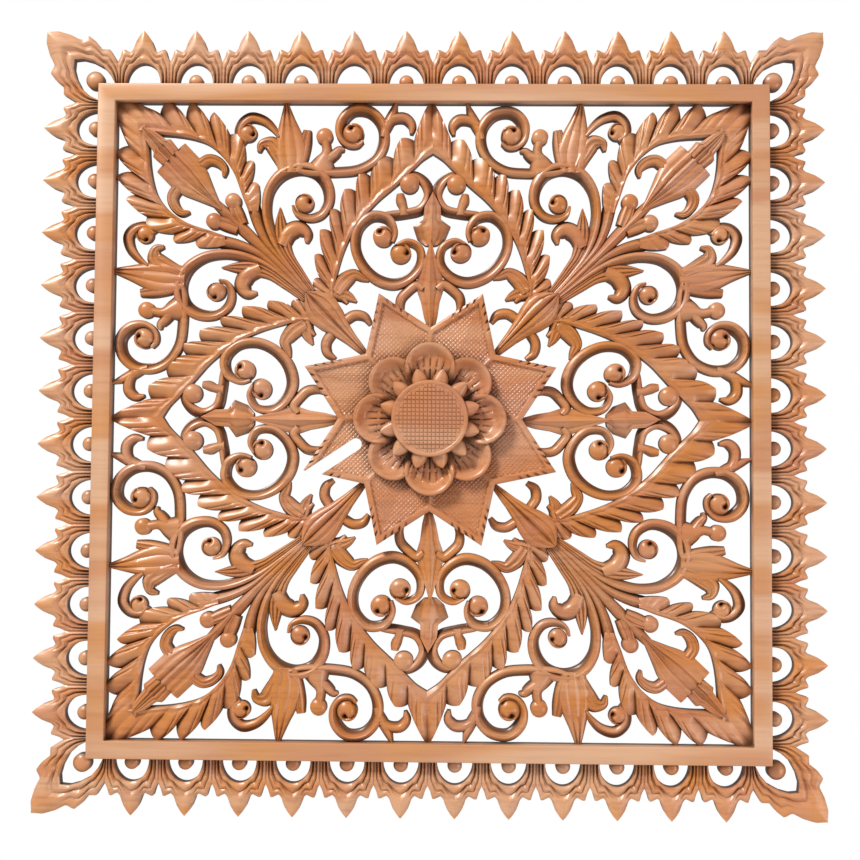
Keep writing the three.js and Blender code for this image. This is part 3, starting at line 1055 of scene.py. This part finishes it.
@dataclass(kw_only=True)
class Lotus(Carving):
    """The lotus on an eight-leaved star, carved from one block and fixed at the middle.

    Attributes:
        back: Height of the block's flat back.
        top: Height of the seed head.
        tip: Radius of the star's tips.
        notch: Radius of the notches between its leaves.
        leaves: Leaves of the star.
        leaf_depth: Height of the star's borders above the block's back.
        border: Width of a leaf's raised border.
        sunk: Depth of a leaf's field below its border.
        stipple_pitch: Distance between the stipple's cuts.
        stipple_depth: Depth of the stipple.
        nick_pitch: Distance between the nicks along a border.
        nick_depth: Depth of the nicks.
        petals: Petals of the lotus.
        petal_ring: Radius of the petals' middles.
        petal_radius: Radius of one petal.
        petal_height: Height of the petals' rims above the block's back.
        petal_dish: Depth of a petal's hollow.
        petal_step: How much lower every second petal lies.
        petal_lines: Depth of the lines cut at a petal's root.
        collar: Small pointed leaves round the seed head.
        seeds: Radius of the seed head.
        seed_pitch: Distance between the crossed cuts on it.
        seed_half: Half the width of a pad between the cuts.
        split_start: Middle of the split's round inner end.
        split_end: Where the split has run out past the leaf.
        split_half: Half its width.
    """

    back: float
    top: float
    tip: float = 154.0
    notch: float = 104.0
    leaves: int = 8
    leaf_depth: float = 8.0
    border: float = 7.0
    sunk: float = 2.4
    stipple_pitch: float = 5.2
    stipple_depth: float = 0.7
    nick_pitch: float = 8.0
    nick_depth: float = 5.0
    petals: int = 8
    petal_ring: float = 58.0
    petal_radius: float = 28.5
    petal_height: float = 19.0
    petal_dish: float = 9.5
    petal_step: float = 2.4
    petal_lines: float = 1.8
    collar: int = 12
    seeds: float = 43.0
    seed_pitch: float = 4.55
    seed_half: float = 2.0
    split_start: tuple[float, float] = (-84.0, -29.0)
    split_end: tuple[float, float] = (-158.0, -79.0)
    split_half: float = 7.0

    def star(self) -> Solid:
        """Work out the eight leaves with their raised borders and stippled fields.

        Returns:
            The solid, not yet split.
        """
        angle = np.linspace(0, 2 * math.pi, 1040, endpoint=False)
        half = math.pi / self.leaves
        tip_at = self.tip_offset(angle, half)
        slope = math.atan2(self.notch * math.sin(half), self.tip - self.notch * math.cos(half))
        reach = self.tip * math.sin(slope) / np.sin(slope + tip_at)
        to_edge = self.tip * math.sin(slope)
        border = self.border / to_edge
        t = np.concatenate([[0.2], np.linspace(0.42, 1 - border - 0.01, 62),
                            1 - border + np.array([0.0, 0.012, 0.03, 0.05, 0.065, border - 0.004, border])])
        t = t[:, None]
        away = reach * np.cos(tip_at)
        nick_run = (self.tip - away) / self.nick_pitch
        nicks = np.clip(np.cos(2 * math.pi * nick_run) - 0.15, 0, 1) / 0.85 * ease(away, 118, 124)
        nicks = nicks * (1 - ease(away, 146, 150))
        radius = t * reach
        x, z = radius * np.cos(angle), radius * np.sin(angle)
        fieldness = 1 - ease(t, 1 - border - 0.012, 1 - border + 0.008)
        rib = bump(tip_at - half, 0.0, 0.035) * ease(t, 0.5, 0.75)
        rising = np.cos(2 * math.pi * (x + z) / self.stipple_pitch)
        falling = np.cos(2 * math.pi * (x - z) / self.stipple_pitch)
        stipple = np.clip(np.maximum(rising, falling), 0, 1)
        height = (
            self.back + self.leaf_depth
            - fieldness * np.clip(1 - rib, 0, 1) * (self.sunk + self.stipple_depth * stipple)
            - 1.6 * (1 - ease(1 - t, 0.0, 0.025))
            + 3.5 * ease(radius, 118, 154)
            - nicks * self.nick_depth * ease(t, 1 - border * 0.8, 1.0)
        )
        rings = np.stack([x, z, height], axis=2)
        return disc(rings, self.back)

    @staticmethod
    def tip_offset(angle: np.ndarray, half: float) -> np.ndarray:
        """Angle from the nearest leaf tip; tips stand half a leaf from the axes."""
        return np.abs(np.mod(angle, 2 * half) - half)

    def petal(self, k: int) -> Solid:
        """Work out one rounded, dished petal.

        Args:
            k: Number of the petal, anticlockwise from the right.

        Returns:
            The solid.
        """
        way = 2 * math.pi * k / self.petals
        around = np.linspace(0, 2 * math.pi, 72, endpoint=False)[None, :]
        part = np.linspace(0.06, 1, 19)[:, None] ** 0.85
        out = self.petal_ring + self.petal_radius * part * np.cos(around)
        side = self.petal_radius * part * np.sin(around)
        x = out * math.cos(way) - side * math.sin(way)
        z = out * math.sin(way) + side * math.cos(way)
        far = np.hypot(x, z)
        lines = np.clip(np.cos(np.arctan2(side, out) * 52), 0, 1) ** 3
        step = self.petal_step * (k % 2)
        rim = ease(part, 0.5, 0.93) * ease(np.cos(around), -0.75, 0.1)
        height = (
            self.back + self.petal_height - step
            - self.petal_dish * (1 - rim)
            - 2.2 * ease(part, 0.93, 1.0) ** 2
            - self.petal_lines * lines * (1 - ease(far, 66, 76))
        )
        return disc(np.stack([x, z, height], axis=2), self.back + 2.0)

    def collar_leaf(self, k: int) -> Solid:
        """Work out one of the small pointed leaves round the seed head.

        Args:
            k: Number of the leaf, anticlockwise from the right.

        Returns:
            The solid.
        """
        way = 2 * math.pi * (k + 0.5) / self.collar
        knots = [(30, 17), (40, 19), (46, 18), (50, 15), (54, 9.5), (57, 2.5)]
        turned = [(r * math.cos(way), r * math.sin(way), w) for r, w in knots]
        solid = Ribbon(turned, (self.top - 1.5, self.top - 5.0), Section.PETAL, columns=15).solid()
        solid.points[:, 2] = np.maximum(solid.points[:, 2], self.back + 3.0)
        return solid

    def seed_head(self) -> list[Solid]:
        """Work out the round head: a rimmed disc and the little pads between its crossed cuts.

        Returns:
            The disc, then the pads.
        """
        around = np.linspace(0, 2 * math.pi, 96, endpoint=False)[None, :]
        radius = np.array([4, 20, 36, 38.0, 38.8, 41.0, 42.2, self.seeds])[:, None]
        level = np.array([-0.85, -0.85, -0.85, -0.85, -0.2, 0.0, -0.4, -1.6])[:, None]
        rings = np.stack([radius * np.cos(around), radius * np.sin(around),
                          self.top + level + 0 * around], axis=2)
        solids = [disc(rings, self.back + 3.0)]
        field_radius = self.seeds - 5
        reach = int(field_radius // self.seed_pitch) + 1
        for i in range(-reach, reach + 1):
            for j in range(-reach, reach + 1):
                x, z = i * self.seed_pitch, j * self.seed_pitch
                if math.hypot(abs(x) + self.seed_half, abs(z) + self.seed_half) < field_radius + 1.4:
                    solids.append(self.seed(x, z))
        return solids

    def seed(self, x: float, z: float) -> Solid:
        """Work out one little pad with bevelled edges.

        Args:
            x: Place of its middle.
            z: Place of its middle.

        Returns:
            The solid.
        """
        corner = np.array([(1, 1), (-1, 1), (-1, -1), (1, -1)], float)
        rings = [(0.7, self.top - 0.15), (0.92, self.top - 0.4), (1.0, self.top - 1.0)]
        stack = [np.column_stack([corner * self.seed_half * k + (x, z), np.full(4, h)]) for k, h in rings]
        return disc(np.array(stack), self.top - 3.0)

    def split(self) -> bpy.types.Object:
        """Make the cutter for the open split, which runs from the petals out through one leaf.

        Returns:
            The cutter.
        """
        start, end = Vector(self.split_start), Vector(self.split_end)
        way = (end - start).normalized()
        side = Vector((-way.y, way.x)) * self.split_half
        round_end = [start - way * self.split_half * math.sin(a) + side * math.cos(a)
                     for a in np.linspace(0, math.pi, 13)]
        outline = [end + side, *round_end, end - side]
        solid = Solid(
            np.array([(p.x, p.y, h) for h in (self.back - 4, self.top) for p in outline]), [])
        n = len(outline)
        solid.faces = [tuple(range(n)), tuple(range(2 * n - 1, n - 1, -1))]
        solid.faces += [(j, j + n, (j + 1) % n + n, (j + 1) % n) for j in range(n)]
        cutter = solid.made("split")
        bpy.context.scene.collection.objects.link(cutter)
        select_only(cutter)
        bpy.ops.object.mode_set(mode="EDIT")
        bpy.ops.mesh.select_all(action="SELECT")
        bpy.ops.mesh.normals_make_consistent(inside=False)
        bpy.ops.object.mode_set(mode="OBJECT")
        return cutter

    def build(self) -> list[bpy.types.Object]:
        """Carve the block.

        Returns:
            The lotus on its star.
        """
        star = welded("lotus_star", [self.star()], [self.split()])
        solids: list[Solid | bpy.types.Object] = [star]
        solids += [self.petal(k) for k in range(self.petals)]
        solids += [self.collar_leaf(k) for k in range(self.collar)]
        solids += self.seed_head()
        return [welded("lotus", solids)]


# ---------------------------------------------------------------------------------------------
# Finishes
# ---------------------------------------------------------------------------------------------


def colour(code: str) -> tuple[float, float, float, float]:
    """Turn an sRGB hex code into the linear colour that a shader takes.

    Args:
        code: The code, such as #D68C47.

    Returns:
        Red, green, blue and alpha.
    """
    parts = [int(code[i:i + 2], 16) / 255 for i in (1, 3, 5)]
    linear = [p / 12.92 if p <= 0.04045 else ((p + 0.055) / 1.055) ** 2.4 for p in parts]
    return (*linear, 1.0)


def add_node(tree: bpy.types.NodeTree, kind: str, settings: dict[str, object] | None = None,
             links: dict[str | int, bpy.types.NodeSocket] | None = None) -> bpy.types.Node:
    """Add a node with its settings and links.

    Args:
        tree: The tree it goes into.
        kind: The node's type name.
        settings: Values, by property name, or by input socket name or number where there is none.
        links: What each input is linked from, by socket name or number.

    Returns:
        The node.
    """
    node = tree.nodes.new(kind)
    for name, value in (settings or {}).items():
        if hasattr(node, str(name)):
            setattr(node, name, value)
        else:
            node.inputs[name].default_value = value
    for name, source in (links or {}).items():
        tree.links.new(source, node.inputs[name])
    return node


SMOOTH = {"interpolation_type": "SMOOTHSTEP"}  # eases a mapped value in and out


@dataclass(frozen=True)
class Teak:
    """Teak under a satin varnish, cut with gouges, its grain lying across the panel.

    It looks warm and streaky, with a soft sheen on every rounded edge, and painted shade that darkens its
    matt cuts.

    Attributes:
        name: The finish's name.
        golden: Colour of the orange streaks.
        rosy: Colour of the pinkish areas.
        pale: Colour of the worn and lightest areas.
        late: Colour of the grain lines.
        shade_tint: Colour of the painted shade in the cuts, on the low sides and on the back.
        wear: How much of the pale colour shows, from 0 to 1.
        lines: How strongly the grain lines show, from 0 to 1.
        line_pitch: Distance between grain lines, in millimetres.
        grain_length: Length of a grain streak, in millimetres.
        patch: Size of the orange and pink patches, in millimetres.
        board: Size of the paler bands along X, Y and Z, in millimetres.
        board_start: Where in the pattern the bands start, in bands.
        shade_reach: How far a cut's sides may stand apart and still get painted shade, in millimetres.
        unshaded_above: Height above the back from which no painted shade is laid for depth, in millimetres.
        shaded_below: Height above the back below which painted shade is laid all over, in millimetres.
        shade_strength: Strength of the painted shade, from 0 to 1.
    """

    name: str
    golden: str = "#D68C47"
    rosy: str = "#CE8960"
    pale: str = "#EBC3A2"
    late: str = "#9A5526"
    # Painted shade: the dark brown laid where light is shut out.
    shade_tint: str = "#3E1B09"
    wear: float = 0.3
    lines: float = 0.38
    line_pitch: float = 2.6
    grain_length: float = 90.0
    patch: float = 71.4
    board: tuple[float, float, float] = (333.3, 83.3, 38.46)
    board_start: tuple[float, float, float] = (3.1, 0.0, 7.7)
    shade_reach: float = 16.0
    unshaded_above: float = 13.5
    shaded_below: float = 8.0
    shade_strength: float = 0.82

    def material(self) -> bpy.types.Material:
        """Build the material.

        Returns:
            The material.
        """
        material = bpy.data.materials.new(self.name)
        material.use_nodes = True
        tree = material.node_tree
        tree.nodes.clear()
        place = add_node(tree, "ShaderNodeTexCoord").outputs["Object"]
        # Grain: long thin streaks across the panel, two grain lines to a wave of the noise.
        across, length = 1000 / self.line_pitch / 2, 1000 / self.grain_length
        stretched = add_node(tree, "ShaderNodeMapping", {"Scale": (length, across, across)},
                             {"Vector": place})
        grain = add_node(tree, "ShaderNodeTexNoise",
                         {"Scale": 1.0, "Detail": 3.0, "Roughness": 0.5, "Distortion": 0.25},
                         {"Vector": stretched.outputs[0]})
        # Patches: where the wood turns from orange to pink.
        patches = add_node(tree, "ShaderNodeTexNoise", {"Scale": 1000 / self.patch, "Detail": 2.0},
                           {"Vector": place})
        rosiness = add_node(tree, "ShaderNodeMapRange", {**SMOOTH, "From Min": 0.3, "From Max": 0.72},
                            {"Value": patches.outputs[0]})
        hue = add_node(tree, "ShaderNodeMix",
                       {"data_type": "RGBA", 6: colour(self.golden), 7: colour(self.rosy)},
                       {0: rosiness.outputs[0]})
        # Boards: broad bands that are worn paler than the rest.
        boards = add_node(tree, "ShaderNodeMapping",
                          {"Scale": tuple(1000 / size for size in self.board), "Location": self.board_start},
                          {"Vector": place})
        bands = add_node(tree, "ShaderNodeTexNoise", {"Scale": 1.0, "Detail": 1.0},
                         {"Vector": boards.outputs[0]})
        paleness = add_node(tree, "ShaderNodeMapRange",
                            {**SMOOTH, "From Min": 0.42, "From Max": 0.62, "To Max": self.wear},
                            {"Value": bands.outputs[0]})
        light = add_node(tree, "ShaderNodeMix", {"data_type": "RGBA", 7: colour(self.pale)},
                         {0: paleness.outputs[0], 6: hue.outputs[2]})
        lines = add_node(tree, "ShaderNodeMapRange",
                         {**SMOOTH, "From Min": 0.42, "From Max": 0.75, "To Max": self.lines},
                         {"Value": grain.outputs[0]})
        grained = add_node(tree, "ShaderNodeMix", {"data_type": "RGBA", 7: colour(self.late)},
                           {0: lines.outputs[0], 6: light.outputs[2]})
        # Painted shade: dark brown laid into the cuts and creases where light is shut out, and over the low
        # sides and the back.
        open_sky = add_node(tree, "ShaderNodeAmbientOcclusion",
                            {"samples": 6, "Distance": self.shade_reach * MM})
        crease_shade = add_node(tree, "ShaderNodeMapRange", {**SMOOTH, "From Min": 0.86, "From Max": 0.3},
                            {"Value": open_sky.outputs["AO"]})
        depth = add_node(tree, "ShaderNodeSeparateXYZ", links={0: place})
        deep = add_node(tree, "ShaderNodeMapRange",
                        {**SMOOTH, "From Min": -self.unshaded_above * MM, "From Max": -self.shaded_below * MM},
                        {"Value": depth.outputs[1]})
        either = add_node(tree, "ShaderNodeMath", {"operation": "MAXIMUM"},
                          {0: crease_shade.outputs[0], 1: deep.outputs[0]})
        amount = add_node(tree, "ShaderNodeMath", {"operation": "MULTIPLY", 1: self.shade_strength},
                          {0: either.outputs[0]})
        # Mix the painted shade over the wood's own colour.
        shaded = add_node(tree, "ShaderNodeMix", {"data_type": "RGBA", 7: colour(self.shade_tint)},
                           {0: amount.outputs[0], 6: grained.outputs[2]})
        # Varnish: a satin coat over wood whose grain can just be felt.
        felt = add_node(tree, "ShaderNodeBump", {"Strength": 0.12, "Distance": 0.0005},
                        {"Height": grain.outputs[0]})
        rough = add_node(tree, "ShaderNodeMapRange", {"To Min": 0.34, "To Max": 0.52},
                         {"Value": patches.outputs[0]})
        shader = add_node(tree, "ShaderNodeBsdfPrincipled",
                          {"IOR": 1.5, "Coat Weight": 0.55, "Coat Roughness": 0.24},
                          {"Base Color": shaded.outputs[2], "Roughness": rough.outputs[0],
                           "Normal": felt.outputs[0]})
        add_node(tree, "ShaderNodeOutputMaterial", links={"Surface": shader.outputs[0]})
        return material


@dataclass(frozen=True)
class Paper:
    """Matt white studio paper, which gives an even pale floor."""

    name: str = "white_paper"
    tone: str = "#F2F1EF"

    def material(self) -> bpy.types.Material:
        """Build the material.

        Returns:
            The material.
        """
        material = bpy.data.materials.new(self.name)
        material.use_nodes = True
        shader = material.node_tree.nodes["Principled BSDF"]
        shader.inputs["Base Color"].default_value = colour(self.tone)
        shader.inputs["Roughness"].default_value = 0.9
        return material


# ---------------------------------------------------------------------------------------------
# The studio
# ---------------------------------------------------------------------------------------------


@dataclass
class Studio:
    """A pale floor, a soft key from the upper left, an even white surround and the camera.

    Attributes:
        distance: Camera to panel, in metres.
        azimuth: Camera's place round the panel from straight in front, in degrees.
        elevation: Camera's height angle, in degrees.
        roll: Camera's turn about its own line of sight, in degrees.
        lens: Focal length, in millimetres, for a sensor 36 mm wide.
        shift_y: Upward shift of the lens.
        drop: Distance of the floor below the panel, in metres.
        floor_radius: Radius of the floor, in metres.
        key_place: Place of the main light.
        key_size: Its width, in metres.
        key_watts: Its power.
        fill_place: Place of the weaker light.
        fill_size: Its width, in metres.
        fill_watts: Its power.
        surround: Brightness of the surround as a light.
    """

    distance: float = 1.6
    azimuth: float = 1.12
    elevation: float = -2.83
    roll: float = 0.43
    lens: float = 59.32
    shift_y: float = -0.0127
    drop: float = 0.55
    floor_radius: float = 1.5
    key_place: tuple[float, float, float] = (-3.0, -3.2, 4.0)
    key_size: float = 1.4
    key_watts: float = 330.0
    fill_place: tuple[float, float, float] = (3.4, -3.0, -1.2)
    fill_size: float = 2.4
    fill_watts: float = 75.0
    surround: float = 0.2

    def floor(self, lowest: float) -> None:
        """Lay the floor well below the hung panel.

        Args:
            lowest: Height of the panel's lowest point.
        """
        bpy.ops.object.select_all(action="DESELECT")
        bpy.ops.mesh.primitive_circle_add(vertices=96, radius=self.floor_radius, fill_type="NGON",
                                          location=(0, 0, lowest - self.drop))
        bpy.ops.object.transform_apply(location=True, rotation=False, scale=False)
        plate = bpy.context.object
        plate.name = "floor"
        plate.data.materials.append(Paper().material())

    def camera(self, target: Vector) -> None:
        """Aim the camera at the middle of the rail's front.

        Args:
            target: That point.
        """
        turn, lift = math.radians(self.azimuth), math.radians(self.elevation)
        back = Vector((math.sin(turn) * math.cos(lift), -math.cos(turn) * math.cos(lift), math.sin(lift)))
        data = bpy.data.cameras.new("camera")
        data.lens, data.sensor_width, data.shift_y = self.lens, 36.0, self.shift_y
        camera = bpy.data.objects.new("camera", data)
        bpy.context.scene.collection.objects.link(camera)
        camera.location = target + back * self.distance
        aim = (-back).to_track_quat("-Z", "Y").to_matrix().to_4x4()
        turned = aim @ Matrix.Rotation(math.radians(self.roll), 4, "Z")
        camera.rotation_euler = turned.to_euler()
        bpy.context.scene.camera = camera

    def light(self, name: str, place: Sequence[float], size: float, watts: float, tint: str) -> None:
        """Add a square soft light aimed at the panel.

        Args:
            name: The light's name.
            place: Where it stands, in metres.
            size: Its width, in metres.
            watts: Its power.
            tint: Its colour.
        """
        data = bpy.data.lights.new(name, "AREA")
        data.size, data.energy, data.color = size, watts, colour(tint)[:3]
        lamp = bpy.data.objects.new(name, data)
        lamp.location = place
        lamp.rotation_euler = (-Vector(place)).to_track_quat("-Z", "Y").to_euler()
        bpy.context.scene.collection.objects.link(lamp)

    def world(self) -> None:
        """Surround everything with plain white, dimmer as a light than it looks."""
        world = bpy.data.worlds.new("surround")
        world.use_nodes = True
        tree = world.node_tree
        tree.nodes.clear()
        seen = add_node(tree, "ShaderNodeLightPath")
        level = add_node(tree, "ShaderNodeMapRange", {"To Min": self.surround, "To Max": 1.0},
                         {"Value": seen.outputs["Is Camera Ray"]})
        white = add_node(tree, "ShaderNodeBackground", {"Color": colour("#FFFFFF")},
                         {"Strength": level.outputs[0]})
        add_node(tree, "ShaderNodeOutputWorld", links={0: white.outputs[0]})
        bpy.context.scene.world = world

    def build(self, lowest: float, front: float) -> None:
        """Set up floor, camera, lights and surround.

        Args:
            lowest: Height of the panel's lowest point.
            front: Place of the rail's front along Y.
        """
        self.camera(Vector((0, front, 0)))
        self.floor(lowest)
        self.light("key", self.key_place, self.key_size, self.key_watts, "#FFF8F0")
        self.light("fill", self.fill_place, self.fill_size, self.fill_watts, "#FFECE6")
        self.world()
        bpy.context.scene.view_settings.view_transform = "Standard"


# ---------------------------------------------------------------------------------------------
# Putting it together
# ---------------------------------------------------------------------------------------------


def main() -> None:
    """Build the panel and the studio, and report each piece."""
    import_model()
    panel_low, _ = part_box("carved_panel")
    lotus_low, lotus_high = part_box("lotus_rosette")
    lotus_back = -lotus_high.y / MM
    panel_teak = Teak("panel_teak").material()
    rail_teak = Teak("rail_teak", golden="#DDA06A", rosy="#D49A74", wear=0.75, lines=0.16).material()
    fringe_teak = Teak("fringe_teak", golden="#E29A58", rosy="#DA9A74", wear=0.55).material()
    lotus_teak = Teak("lotus_teak", golden="#D68E58", rosy="#D08E68", wear=0.4).material()
    carvings = (
        Rail(finish=rail_teak, depth=-panel_low.y / MM),
        Foliage(finish=panel_teak),
        Fringe(finish=fringe_teak),
        Ground(finish=panel_teak, lotus_back=lotus_back),
        Lotus(finish=lotus_teak, node="lotus_rosette", slot="lotus_teak", back=lotus_back,
              top=-lotus_low.y / MM),
    )
    for carving in carvings:
        for piece in carving.finished():
            triangles = len(piece.data.loops) - 2 * len(piece.data.polygons)
            log.info("%s: %d triangles", piece.name, triangles)
    Studio().build(panel_low.z, panel_low.y)


if __name__ == "__main__":
    main()
